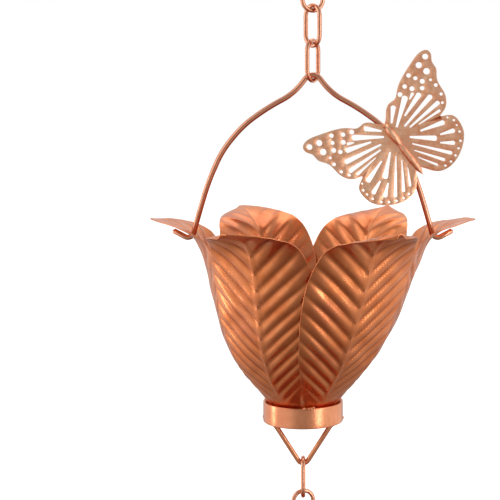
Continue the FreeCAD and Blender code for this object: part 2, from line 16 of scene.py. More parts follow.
import bpy
import numpy as np
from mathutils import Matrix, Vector

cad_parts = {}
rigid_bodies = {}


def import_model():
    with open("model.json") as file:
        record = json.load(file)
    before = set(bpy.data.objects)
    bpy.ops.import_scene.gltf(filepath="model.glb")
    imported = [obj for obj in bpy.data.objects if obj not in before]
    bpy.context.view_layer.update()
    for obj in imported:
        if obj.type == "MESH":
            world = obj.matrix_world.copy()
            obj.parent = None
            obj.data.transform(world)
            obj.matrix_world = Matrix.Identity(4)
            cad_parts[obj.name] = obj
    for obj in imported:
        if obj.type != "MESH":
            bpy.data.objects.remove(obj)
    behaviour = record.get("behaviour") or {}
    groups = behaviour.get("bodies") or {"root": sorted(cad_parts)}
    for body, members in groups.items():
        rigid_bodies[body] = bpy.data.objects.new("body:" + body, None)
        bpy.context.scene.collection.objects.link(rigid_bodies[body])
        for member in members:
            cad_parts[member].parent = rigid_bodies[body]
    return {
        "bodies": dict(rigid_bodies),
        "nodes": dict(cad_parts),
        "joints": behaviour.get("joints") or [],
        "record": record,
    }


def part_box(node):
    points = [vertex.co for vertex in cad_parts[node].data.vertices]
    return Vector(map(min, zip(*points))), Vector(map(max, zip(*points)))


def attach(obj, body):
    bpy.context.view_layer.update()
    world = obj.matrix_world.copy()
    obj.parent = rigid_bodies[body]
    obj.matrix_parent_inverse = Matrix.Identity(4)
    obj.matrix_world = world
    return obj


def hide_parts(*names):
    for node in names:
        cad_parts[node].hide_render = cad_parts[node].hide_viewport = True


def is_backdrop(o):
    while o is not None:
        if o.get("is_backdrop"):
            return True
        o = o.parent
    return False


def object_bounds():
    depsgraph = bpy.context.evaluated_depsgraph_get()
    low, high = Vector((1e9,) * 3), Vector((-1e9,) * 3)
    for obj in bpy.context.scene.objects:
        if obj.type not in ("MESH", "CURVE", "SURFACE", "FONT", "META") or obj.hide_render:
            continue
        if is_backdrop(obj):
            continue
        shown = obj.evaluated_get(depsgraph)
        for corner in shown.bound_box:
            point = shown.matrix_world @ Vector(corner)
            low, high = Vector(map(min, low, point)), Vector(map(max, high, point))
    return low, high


Tree = bpy.types.NodeTree
Socket = bpy.types.NodeSocket

LOG = logging.getLogger("rain_chain")
MM = 0.001
TAU = 2 * math.pi
# The cup that the photograph shows from near, and that the camera looks at.
HERO = "02"
# The collar's height, and how far out and up the bail passes through a side petal, in millimetres.
COLLAR_HEIGHT = 10.3
SEAT = (59.0, 94.0)
# How far the floor lies under the chain's end, in metres.
FLOOR_GAP = 0.04


def linear(code: str) -> tuple[float, float, float, float]:
    """Turns an sRGB hex code into a linear colour.

    Args:
        code: six hex digits with a leading hash.

    Returns:
        Red, green, blue and an alpha of one.
    """
    parts = [int(code[i : i + 2], 16) / 255 for i in (1, 3, 5)]
    return (*[p / 12.92 if p <= 0.04045 else ((p + 0.055) / 1.055) ** 2.4 for p in parts], 1.0)


def empty_tree(owner: bpy.types.Material | bpy.types.World) -> Tree:
    """Turns nodes on for a material or a world.

    Args:
        owner: the material or the world.

    Returns:
        Its node tree, with no nodes in it yet.
    """
    owner.use_nodes = True
    owner.node_tree.nodes.clear()
    return owner.node_tree


def add_node(
    tree: Tree, kind: str, inputs: dict[str | int, object] | None = None, **settings: object
) -> bpy.types.Node:
    """Adds one node with its settings and its inputs.

    Args:
        tree: the node tree that gets the node.
        kind: the node's type, after the ShaderNode that each one starts with.
        inputs: for each input, the socket that feeds it or a plain value.
        settings: the node's own attributes, which are set before its inputs.

    Returns:
        The new node.
    """
    node = tree.nodes.new("ShaderNode" + kind)
    for name, value in settings.items():
        setattr(node, name, value)
    for name, value in (inputs or {}).items():
        if isinstance(value, Socket):
            tree.links.new(value, node.inputs[name])
        else:
            node.inputs[name].default_value = value
    return node


def mix(tree: Tree, share: Socket, low: object, high: object, tones: bool = False) -> Socket:
    """Gives low where a share is 0 and high where it is 1.

    Args:
        tree: the node tree that gets the node.
        share: the socket that gives the share.
        low: a socket, a number or a tone.
        high: another one of the same sort.
        tones: whether tones are mixed, and not numbers.

    Returns:
        The socket that gives the mix.
    """
    kind, first, result = ("RGBA", 6, 2) if tones else ("FLOAT", 2, 0)
    node = add_node(tree, "Mix", {0: share, first: low, first + 1: high}, data_type=kind)
    return node.outputs[result]


def product(tree: Tree, one: Socket, other: object) -> Socket:
    """The product of a socket's value and another socket's or a plain number."""
    return add_node(tree, "Math", {0: one, 1: other}, operation="MULTIPLY").outputs[0]


def graded(
    tree: Tree, value: Socket, span: tuple[float, float], ends: tuple[float, float], kind: str = "LINEAR"
) -> Socket:
    """Takes a value over from one end to the other along a span, and keeps it level outside.

    Args:
        tree: the node tree that gets the node.
        value: the socket that gives the value.
        span: where the value sets in and where it is done.
        ends: what is given below the span and above it.
        kind: LINEAR for an even way over the span, or SMOOTHSTEP for a soft one.

    Returns:
        The socket that gives the result.
    """
    inputs = {
        "Value": value, "From Min": span[0], "From Max": span[1], "To Min": ends[0], "To Max": ends[1],
    }
    return add_node(tree, "MapRange", inputs, interpolation_type=kind).outputs["Result"]


@dataclass(frozen=True)
class Copper:
    """Bare copper under a thin clear lacquer, in one of the ways that its surface was worked.

    Copper is a warm metal: it mirrors white as salmon, and what is mirrored twice turns orange brown.
    The pale tone is bright, the darker one deep and the pinker one blush. A mottle is how much of the
    deep tone shows, and the sizes that end in mm are those of the patterns' features. The blush's
    patches are wider than the mottle by the patch ratio, and the gloss range is the least and the
    greatest roughness as a share of the finish's own. Where a piece marks its furrows, a darker tone is
    painted into them as shade.
    """

    name: str
    slot: str
    bright: str = "#E08B5B"
    deep: str = "#C06530"
    blush: str = "#C4765A"
    metallic: float = 1.0
    roughness: float = 0.26
    mottle_mm: float = 9.0
    mottle: float = 0.55
    grain_mm: float = 0.55
    grain_depth: float = 0.04
    stretch: tuple[float, float, float] = (1.0, 1.0, 1.0)
    hollow: str = ""
    patch_ratio: float = 2.3
    gloss_range: tuple[float, float] = (0.78, 1.3)

    def material(self) -> bpy.types.Material:
        """Builds the material: mottled tone, uneven gloss and a fine grain, all by place on the object.

        Returns:
            The new material, under the finish's name.
        """
        material = bpy.data.materials.new(self.name)
        tree = empty_tree(material)
        place = add_node(tree, "TexCoord").outputs["Object"]
        clouds = self._noise(tree, place, self.mottle_mm, {"Detail": 4.0, "Roughness": 0.6})
        wide = self.mottle_mm * self.patch_ratio
        patches = self._noise(tree, place, wide, {"Detail": 2.0, "W": 3.0}, dimensions="4D")
        drawn = add_node(tree, "Mapping", {"Scale": self.stretch, "Vector": place}).outputs["Vector"]
        grain = self._noise(tree, drawn, self.grain_mm, {"Detail": 3.0, "Roughness": 0.55})
        least, greatest = self.gloss_range
        ends = (self.roughness * least, self.roughness * greatest)
        bump = {"Strength": 1.0, "Distance": self.grain_depth * MM, "Height": grain}
        surface = {
            "Metallic": self.metallic,
            "Base Color": self._tone(tree, clouds, patches),
            "Roughness": graded(tree, clouds, (0.3, 0.7), ends),
            "Normal": add_node(tree, "Bump", bump).outputs["Normal"],
        }
        shader = add_node(tree, "BsdfPrincipled", surface)
        add_node(tree, "OutputMaterial", {"Surface": shader.outputs["BSDF"]})
        return material

    @staticmethod
    def _noise(
        tree: Tree, place: Socket, size_mm: float, inputs: dict[str, float], dimensions: str = "3D"
    ) -> Socket:
        """A cloudy pattern on Object coordinates.

        Args:
            tree: the material's node tree.
            place: the socket that gives the coordinates, in metres.
            size_mm: how wide the pattern's features are.
            inputs: the noise's other inputs.
            dimensions: 3D, or 4D for a pattern that differs from the others.

        Returns:
            The socket that gives the pattern.
        """
        inputs = {"Vector": place, "Scale": 1.0 / (size_mm * MM), **inputs}
        return add_node(tree, "TexNoise", inputs, noise_dimensions=dimensions).outputs["Fac"]

    def _tone(self, tree: Tree, clouds: Socket, patches: Socket) -> Socket:
        """Mixes the bright, deep and blushed tones, and paints shade into the furrows where the piece marks
        them.

        Args:
            tree: the material's node tree.
            clouds: the fine pattern, which chooses between the bright and the deep tone.
            patches: the wide pattern, which lays the blush over them.

        Returns:
            The socket that gives the tone.
        """
        share = graded(tree, clouds, (0.38, 0.66), (0.0, self.mottle))
        toned = mix(tree, share, linear(self.bright), linear(self.deep), tones=True)
        blushed = graded(tree, patches, (0.5, 0.72), (0.0, 0.6))
        toned = mix(tree, blushed, toned, linear(self.blush), tones=True)
        if not self.hollow:
            return toned
        # Painted shade: the marked furrows take a darker tone that stands in for the shade in them.
        painted_shade_mask = add_node(tree, "Attribute", attribute_name="hollow", attribute_type="GEOMETRY")
        return mix(tree, painted_shade_mask.outputs["Fac"], toned, linear(self.hollow), tones=True)


class Finish(Enum):
    """The finishes of the chain, one for each way that the copper was worked."""

    # The pressed sheet gets painted shade in its furrows: a darker tone in its colour.
    PRESSED = Copper(
        "pressed_copper_sheet", "petal_copper", roughness=0.29, mottle_mm=11.0, hollow="#8E4119",
        grain_depth=0.03,
    )
    TURNED = Copper(
        "polished_copper_tube", "collar_copper", bright="#DF966E", deep="#BA6C44", roughness=0.2,
        mottle=0.4, grain_mm=0.3, grain_depth=0.02, stretch=(1.0, 1.0, 7.0),
    )
    DRAWN = Copper(
        "drawn_copper_wire", "wire_copper", bright="#E2A284", deep="#B86E4C", roughness=0.2,
        mottle_mm=14.0, mottle=0.4, grain_mm=0.4, grain_depth=0.004,
    )
    CUT = Copper(
        "cut_copper_sheet", "cut_copper", bright="#FFCBA6", deep="#E08E60", blush="#F2B090", metallic=0.92,
        roughness=0.33, mottle_mm=3.0, mottle=0.65, grain_mm=0.5, grain_depth=0.09,
    )
    AGED = Copper(
        "darkened_copper_strap", "aged_copper", bright="#B5795A", deep="#7E4A33", blush="#8F5A48",
        roughness=0.36, mottle_mm=7.0, mottle=0.8, grain_mm=0.5, grain_depth=0.05, stretch=(0.2, 1.0, 0.2),
    )

    def dress(self, piece: bpy.types.Object) -> None:
        """Gives a piece this finish in place of what it has.

        Args:
            piece: the object whose mesh is dressed.
        """
        if self.value.name not in bpy.data.materials:
            self.value.material()
        piece.data.materials.clear()
        piece.data.materials.append(bpy.data.materials[self.value.name])


@dataclass(frozen=True)
class Place:
    """Where a cup hangs: its origin in metres and its x, y and z axes as the columns of a matrix."""

    origin: np.ndarray
    axes: np.ndarray

    def put(self, points: np.ndarray) -> np.ndarray:
        """Points of the cup's frame in millimetres, taken to the chain's frame in metres."""
        return self.origin + (points * MM) @ self.axes.T


@dataclass(frozen=True)
class Skin:
    """A mesh in the making: its points in a row, its faces as rows of four or three indices."""

    points: np.ndarray
    faces: list[np.ndarray]
    # The share of painted shade in the furrows at each point, or None.
    hollow: np.ndarray | None = None


def grid_faces(rows: int, columns: int, wrap_rows: bool = False, wrap_columns: bool = False) -> np.ndarray:
    """Four-sided faces between neighbouring points of a grid of rows by columns.

    Args:
        rows: number of rows of points.
        columns: number of points in a row.
        wrap_rows: whether the last row joins the first.
        wrap_columns: whether the last point of a row joins its first.

    Returns:
        One row of four indices for each face.
    """
    row = np.arange(rows if wrap_rows else rows - 1)[:, None]
    column = np.arange(columns if wrap_columns else columns - 1)[None, :]
    below, right = (row + 1) % rows, (column + 1) % columns
    corners = [
        row * columns + column, row * columns + right, below * columns + right, below * columns + column,
    ]
    return np.stack([np.broadcast_to(c, (row.size, column.size)).ravel() for c in corners], axis=1)


def join_skins(skins: list[Skin]) -> Skin:
    """Puts several skins into one, each with its own points.

    Args:
        skins: the skins, in the order that their points get.

    Returns:
        The one skin, with no painted furrow shade marked where a skin marks none.
    """
    starts = np.cumsum([0] + [len(skin.points) for skin in skins[:-1]])
    faces = [part + start for skin, start in zip(skins, starts) for part in skin.faces]
    marks = [np.zeros(len(s.points)) if s.hollow is None else s.hollow for s in skins]
    return Skin(np.concatenate([skin.points for skin in skins]), faces, np.concatenate(marks))


def make_piece(name: str, skin: Skin, place: Place | None = None) -> bpy.types.Object:
    """Turns a skin into an object whose place is in its mesh.

    Args:
        name: the piece's name.
        skin: its points, in millimetres, and faces.
        place: the cup's frame that the points are in, or None for the chain's own.

    Returns:
        The object, smooth and with its faces pointing out.
    """
    points = skin.points * MM if place is None else place.put(skin.points)
    mesh = bpy.data.meshes.new(name)
    mesh.from_pydata(points.tolist(), [], [face for part in skin.faces for face in part.tolist()])
    # The painted furrow shade goes into the mesh as a point attribute.
    if skin.hollow is not None:
        mark = mesh.attributes.new("hollow", "FLOAT", "POINT")
        mark.data.foreach_set("value", skin.hollow.astype(np.float32))
    mesh.polygons.foreach_set("use_smooth", np.ones(len(mesh.polygons), bool))
    mesh.validate()
    mesh.update()
    piece = bpy.data.objects.new(name, mesh)
    bpy.context.scene.collection.objects.link(piece)
    return piece


def rounded_path(corners: np.ndarray, radii: list[float], step: float = 0.8) -> np.ndarray:
    """Straight runs joined by tangent arcs, sampled along the way.

    Each inner corner is cut by an arc of its radius that touches both runs: it starts and ends
    radius times the tangent of half the turn away from the corner.

    Args:
        corners: the points of the route in its own plane, two numbers each.
        radii: the radius at each inner corner.
        step: about how far apart the samples on an arc lie.

    Returns:
        The samples, two numbers each.
    """
    found = [corners[:1]]
    for before, corner, after, radius in zip(corners, corners[1:], corners[2:], radii):
        towards = (corner - before) / np.linalg.norm(corner - before)
        onwards = (after - corner) / np.linalg.norm(after - corner)
        turn = math.acos(float(np.clip(towards @ onwards, -1, 1)))
        side = math.copysign(1.0, towards[0] * onwards[1] - towards[1] * onwards[0])
        inward = side * np.array([-towards[1], towards[0]])
        start = corner - towards * (radius * math.tan(turn / 2))
        angles = np.linspace(0, turn, max(4, int(radius * turn / step) + 2))[:, None]
        found.append(start + radius * (np.sin(angles) * towards + (1 - np.cos(angles)) * inward))
    found.append(corners[-1:])
    return np.concatenate(found)


def even_radii(corners: np.ndarray, share: float = 0.45) -> list[float]:
    """The largest even bends of a route.

    An arc of radius r that turns by an angle a cuts r tan(a / 2) off both runs at its corner, and that
    length is a share of the shorter run.

    Args:
        corners: the points of the route, two numbers each.
        share: how much of the shorter run beside a corner its arc may take.

    Returns:
        The radius at each inner corner.
    """
    runs = np.diff(corners, axis=0)
    lengths = np.linalg.norm(runs, axis=1)
    units = runs / lengths[:, None]
    turns = np.arccos(np.clip((units[:-1] * units[1:]).sum(1), -1, 1))
    return list(share * np.minimum(lengths[:-1], lengths[1:]) / np.tan(turns / 2))


def wire_skin(
    path: np.ndarray, wire: float, closed: bool = False, sides: int = 20, cap: float = 0.35
) -> Skin:
    """A round wire along a route in the xz plane.

    Every point of the route carries a ring: the middle plus the radius times the cosine of the
    ring's angle along the route's normal in the plane and the sine along y.

    Args:
        path: the route's samples, x and z.
        wire: the wire's diameter.
        closed: whether the last sample joins the first.
        sides: points in a ring.
        cap: how far the middle of an end stands out, in wire diameters.

    Returns:
        The wire's skin, with both ends closed where it is open.
    """
    if closed:
        along = np.roll(path, -1, axis=0) - np.roll(path, 1, axis=0)
    else:
        along = np.gradient(path, axis=0)
    along /= np.linalg.norm(along, axis=1)[:, None]
    across = np.stack([along[:, 1], -along[:, 0]], axis=1)
    angles = np.arange(sides) / sides * TAU
    flat = path[:, None, :] + wire / 2 * np.cos(angles)[None, :, None] * across[:, None, :]
    depth = np.broadcast_to(wire / 2 * np.sin(angles), (len(path), sides))
    points = np.stack([flat[..., 0], depth, flat[..., 1]], axis=-1).reshape(-1, 3)
    faces = [grid_faces(len(path), sides, wrap_rows=closed, wrap_columns=True)]
    if closed:
        return Skin(points, faces)
    caps = []
    for centre, ring, outward in ((path[0], 0, -along[0]), (path[-1], len(path) - 1, along[-1])):
        middle, way = np.array([centre[0], 0.0, centre[1]]), np.array([outward[0], 0.0, outward[1]])
        caps.append(middle + cap * wire * way)
        first = ring * sides + np.arange(sides)
        order = np.roll(first, -1)
        tip = np.full(sides, len(points) + len(caps) - 1)
        faces.append(np.stack([order, first, tip] if ring == 0 else [first, order, tip], axis=1))
    return Skin(np.concatenate([points, np.array(caps)]), faces)


def turned_skin(profile: np.ndarray, sides: int) -> Skin:
    """A ring turned about z.

    Args:
        profile: the closed section, a radius and a height for each point.
        sides: points on each circle that a point of the section runs through.

    Returns:
        The ring's skin.
    """
    angles = np.arange(sides) / sides * TAU
    out, up = profile[:, 0][:, None], profile[:, 1][:, None]
    height = np.broadcast_to(up, (len(profile), sides))
    points = np.stack([out * np.cos(angles), out * np.sin(angles), height], axis=-1)
    return Skin(points.reshape(-1, 3), [grid_faces(len(profile), sides, wrap_rows=True, wrap_columns=True)])


def ramp(value: np.ndarray, start: float, length: float) -> np.ndarray:
    """Rises evenly from 0 at the start to 1 a length farther on, and is level before and after."""
    return np.clip((value - start) / length, 0, 1)


def level_ends(part: np.ndarray) -> np.ndarray:
    """Takes a share from 0 to 1 along a cubic that is level at both ends."""
    return part * part * (3 - 2 * part)


def natural_spline(places: np.ndarray, values: np.ndarray, at: np.ndarray) -> np.ndarray:
    """A smooth curve through values: cubics that share slope and bend, with straight ends.

    The bends at the inner places solve one linear system, and each span is the cubic with those bends.

    Args:
        places: where the values stand, rising.
        values: one row for each place.
        at: where the curve is wanted.

    Returns:
        One row for each wanted place.
    """
    steps = np.diff(places)
    count = len(places)
    system = np.eye(count)
    wanted = np.zeros_like(values)
    inner = np.arange(1, count - 1)
    system[inner, inner - 1], system[inner, inner] = steps[:-1], 2 * (steps[:-1] + steps[1:])
    system[inner, inner + 1] = steps[1:]
    slopes = np.diff(values, axis=0) / steps[:, None]
    wanted[inner] = 6 * np.diff(slopes, axis=0)
    bends = np.linalg.solve(system, wanted)
    span = np.clip(np.searchsorted(places, at, side="right") - 1, 0, count - 2)
    step = steps[span][:, None]
    low = (places[span + 1] - at)[:, None]
    high = (at - places[span])[:, None]
    return (
        (bends[span] * low**3 + bends[span + 1] * high**3) / (6 * step)
        + (values[span] / step - bends[span] * step / 6) * low
        + (values[span + 1] / step - bends[span + 1] * step / 6) * high
    )


def steady_curve(places: np.ndarray, values: np.ndarray, at: np.ndarray) -> np.ndarray:
    """A curve through values that never overshoots: its slope at a place is the harmonic mean beside it.

    Args:
        places: where the values stand, rising.
        values: one number for each place.
        at: where the curve is wanted.

    Returns:
        One number for each wanted place.
    """
    slopes = np.diff(values) / np.diff(places)
    before, after = slopes[:-1], slopes[1:]
    same = before * after > 0
    inner = np.where(same, 2 * before * after / np.where(same, before + after, 1.0), 0.0)
    ends = np.concatenate([slopes[:1], inner, slopes[-1:]])
    span = np.clip(np.searchsorted(places, at, side="right") - 1, 0, len(places) - 2)
    width = places[span + 1] - places[span]
    part = (at - places[span]) / width
    rise, rest = level_ends(part), 1 - part
    bulge = width * part * rest * (rest * ends[span] - part * ends[span + 1])
    return values[span] * (1 - rise) + values[span + 1] * rise + bulge


@dataclass(frozen=True)
class Petal:
    """One pressed petal: which neighbours its margins lie over, and its own small dents.

    The line and the widths are the middle line, out and up, and half the width at shares of its length.
    A dent is a slow wave: its length up the petal, its length across and its height. A pair that ends
    in ramp says where along the middle line something sets in, and over what length it grows to full
    size. The tip's pair counts back from the tip. The keel is the broad swell under the midrib and the
    spine the sharp line on it, each with its height and its half width.
    """

    turn: float
    over: tuple[int, int]
    rows: int
    columns: int
    seed: int
    sheet: float = 0.5
    lift: float = 2.1
    rib_spacing: tuple[float, float] = (5.6, 9.6)
    rib_run: float = 95.0
    rib_depth: float = 0.46
    rib_phase: float = 0.755
    rib_slope: float = 0.95
    rib_curl: float = 0.12
    rib_gap: float = 2.0
    rib_ramp: tuple[float, float] = (4.0, 14.0)
    tip_ramp: tuple[float, float] = (8.0, 20.0)
    tip_fade: float = 22.0
    tip_fade_power: float = 0.8
    margin_fade: float = 0.8
    furrow_narrowing: float = 0.3
    # How strongly shade is painted into the furrows' colour.
    furrow_shade: float = 0.45
    keel: tuple[float, float] = (0.9, 6.5)
    spine: tuple[float, float] = (0.38, 0.7)
    settle_ramp: tuple[float, float] = (12.0, 20.0)
    lift_ramp: tuple[float, float] = (8.0, 24.0)
    dents: tuple[tuple[float, float, float], ...] = (
        (37.0, 31.0, 0.14), (23.0, 47.0, 0.14), (61.0, 19.0, 0.14), (17.0, 26.0, 0.13), (12.0, 15.0, 0.05),
    )
    widest: float = 28.0
    line: tuple[tuple[float, float], ...] = (
        (18.45, 3.4), (18.15, 10.4), (20.4, 14.0), (27.5, 22.9), (37.4, 38.6), (46.9, 63.5), (52.3, 81.5),
        (59.0, 94.0), (69.0, 99.3), (80.0, 101.6),
    )
    widths: tuple[tuple[float, float], ...] = (
        (0.0, 8.8), (0.06, 9.0), (0.17, 14.4), (0.32, 21.9), (0.53, 27.4), (0.62, 28.0), (0.74, 25.7),
        (0.84, 20.8), (0.92, 14.6), (0.97, 8.4), (1.0, 2.2),
    )
    sway: float = 0.0
    sway_from: float = COLLAR_HEIGHT + 4.0
    line_samples: int = 1200
    tip_crowding: float = 1.15
    margin_crowding: float = 0.8
    margin_arc: tuple[float, ...] = (45.0, 90.0, 135.0)
    least_outward: float = 0.2

    def skin(self) -> Skin:
        """The closed sheet: rows along the middle line, each a loop over the outside and back inside.

        A loop's share of the half width runs from -1 to 1 on the outside, round a half circle of the
        sheet's thickness at the margin, and back on the inside.

        Returns:
            The petal's skin in the cup's frame, with the painted shade in its furrows marked.
        """
        along, middle, normal = self._middle_line()
        half = self._half_width(along)
        share, layer = self._loop()
        across = share[None, :] * half[:, None]
        extra = np.where(np.abs(share) > 1, np.abs(share) - 1, 0.0) * np.sign(share)
        across = np.where(np.abs(share) > 1, np.sign(share) * half[:, None], across) + extra[None, :]
        clipped = np.clip(share, -1, 1)[None, :]
        relief, hollow = self._relief(along[:, None], across, clipped, half[:, None])
        bow = (middle[:, 0] / np.maximum(normal[:, 0], self.least_outward))[:, None]
        angle = across / bow
        free = ramp(along, *self.lift_ramp)[:, None]
        over = np.where(clipped > 0, self.over[1], self.over[0])
        out = bow + relief + over * self.lift * free * clipped**2 + layer[None, :]
        reach = out * np.cos(angle) - bow
        x = middle[:, 0][:, None] + normal[:, 0][:, None] * reach
        z = middle[:, 1][:, None] + normal[:, 1][:, None] * reach
        y = out * np.sin(angle)
        cosine, sine = math.cos(math.radians(self.turn)), math.sin(math.radians(self.turn))
        points = np.stack([x * cosine - y * sine, x * sine + y * cosine, z], axis=-1)
        points[..., 0] += self.sway * self._foot_share(z)
        count = len(share)
        faces = [grid_faces(len(along), count, wrap_columns=True)[:, ::-1]]
        faces += [self._end(0, count), self._end(len(along) - 1, count)[:, ::-1]]
        return Skin(points.reshape(-1, 3), faces, hollow.ravel())

    def _foot_share(self, height: np.ndarray) -> np.ndarray:
        """How much of a sway at the foot is left at a height: all at the collar, none at the bail's seats.

        Args:
            height: heights above the collar's foot.

        Returns:
            Shares from one down to zero, eased at both ends.
        """
        return 1 - level_ends(ramp(height, self.sway_from, SEAT[1] - self.sway_from))

    def _middle_line(self) -> tuple[np.ndarray, np.ndarray, np.ndarray]:
        """Places along the middle line, evenly but closer at the tip.

        Returns:
            The lengths along the line, its points and its outward normals, two numbers each.
        """
        table = np.array(self.line)
        chords = np.concatenate([[0], np.cumsum(np.linalg.norm(np.diff(table, axis=0), axis=1))])
        fine = np.linspace(0, chords[-1], self.line_samples)
        curve = natural_spline(chords, table, fine)
        length = np.concatenate([[0], np.cumsum(np.linalg.norm(np.diff(curve, axis=0), axis=1))])
        way = np.linspace(0, 1, self.rows)
        along = length[-1] * (1 - (1 - way) ** self.tip_crowding)
        middle = np.stack([np.interp(along, length, curve[:, i]) for i in (0, 1)], axis=1)
        ahead = np.gradient(curve, axis=0)
        ahead /= np.linalg.norm(ahead, axis=1)[:, None]
        ahead = np.stack([np.interp(along, length, ahead[:, i]) for i in (0, 1)], axis=1)
        return along, middle, np.stack([ahead[:, 1], -ahead[:, 0]], axis=1)

    def _half_width(self, along: np.ndarray) -> np.ndarray:
        """Half the width at each place along the middle line."""
        table = np.array(self.widths)
        return steady_curve(table[:, 0], table[:, 1] * self.widest / table[:, 1].max(), along / along[-1])

    def _loop(self) -> tuple[np.ndarray, np.ndarray]:
        """One loop round the sheet, closer at the margins.

        Returns:
            For each point the share of the half width, and the way out from the sheet's middle layer.
        """
        half_sheet, crowding = self.sheet / 2, self.margin_crowding
        even = np.linspace(-1, 1, self.columns)
        flat = np.sin(even * math.pi / 2 * crowding) / math.sin(math.pi / 2 * crowding)
        arc = np.radians(self.margin_arc)
        edge = 1 + half_sheet * np.sin(arc)
        share = np.concatenate([flat, edge, flat[::-1], -edge])
        layer = np.concatenate([
            np.full(self.columns, half_sheet), half_sheet * np.cos(arc),
            np.full(self.columns, -half_sheet), -half_sheet * np.cos(arc),
        ])
        return share, layer

    def _relief(
        self, along: np.ndarray, across: np.ndarray, share: np.ndarray, half: np.ndarray
    ) -> tuple[np.ndarray, np.ndarray]:
        """How far the pressing stands out at each point, and how much shade is painted on it in a furrow.

        The ribs leave the middle line every few millimetres, closer at the foot, and run up and out. A
        rib's number is the integral of one over the spacing, so the relief is a cosine of it, with a
        second one that narrows the furrows. A keel along the middle line and slow waves for the dents
        are added.

        Args:
            along: the length along the middle line at each row.
            across: the way from the middle line at each point.
            share: the share of the half width at each point.
            half: half the width at each row.

        Returns:
            The relief in millimetres and the share of painted shade in the furrows, from 0 to 1, at each
            point.
        """
        near, far = self.rib_spacing
        out = np.abs(across)
        start = np.maximum(along - self.rib_slope * out * (1 - self.rib_curl * out / half.max()), 0.0)
        grow = (far - near) / self.rib_run
        number = np.log1p(grow * start / near) / grow - self.rib_phase
        wave = -np.cos(TAU * number) - self.furrow_narrowing * np.cos(2 * TAU * number)
        edge = ramp(along.max() - along, 0.0, self.tip_fade) ** self.tip_fade_power
        tip, length = self.tip_ramp
        fade = ramp(start, *self.rib_ramp) * ramp(along.max() - tip - start, 0.0, length) * edge
        fade = fade * (1 - np.exp(-((out / self.rib_gap) ** 2)))
        fade = fade * (1 - self.margin_fade * np.abs(share) ** 4)
        random = np.random.default_rng(self.seed)
        phases = random.uniform(0, TAU, 10)
        dents = np.zeros_like(out)
        for index, (up, side, weight) in enumerate(self.dents):
            dents = dents + weight * np.sin(TAU * along / up + phases[2 * index]) * np.cos(
                TAU * across / side + phases[2 * index + 1]
            )
        settle = ramp(along, *self.settle_ramp)
        keel = self.keel[0] * np.exp(-out / self.keel[1]) * settle * edge
        spine = self.spine[0] * np.exp(-((out / self.spine[1]) ** 2)) * settle * edge
        relief = self.rib_depth * fade * wave + keel + spine + dents * settle
        # Painted shade: the deeper a point lies in a furrow, the more of the dark tone is painted on it.
        hollow = np.clip(-wave * self.furrow_shade * fade, 0, 1)
        return relief, hollow + np.zeros_like(relief)

    def _end(self, row: int, count: int) -> np.ndarray:
        """Faces that close one end of the loop: each joins a point outside to its fellow inside.

        Args:
            row: the row at that end.
            count: the points in a row.

        Returns:
            One row of four indices for each face.
        """
        first = row * count
        outside = first + np.arange(self.columns)
        inside = first + self.columns + len(self.margin_arc) + np.arange(self.columns)[::-1]
        return np.stack([outside[:-1], outside[1:], inside[1:], inside[:-1]], axis=1)


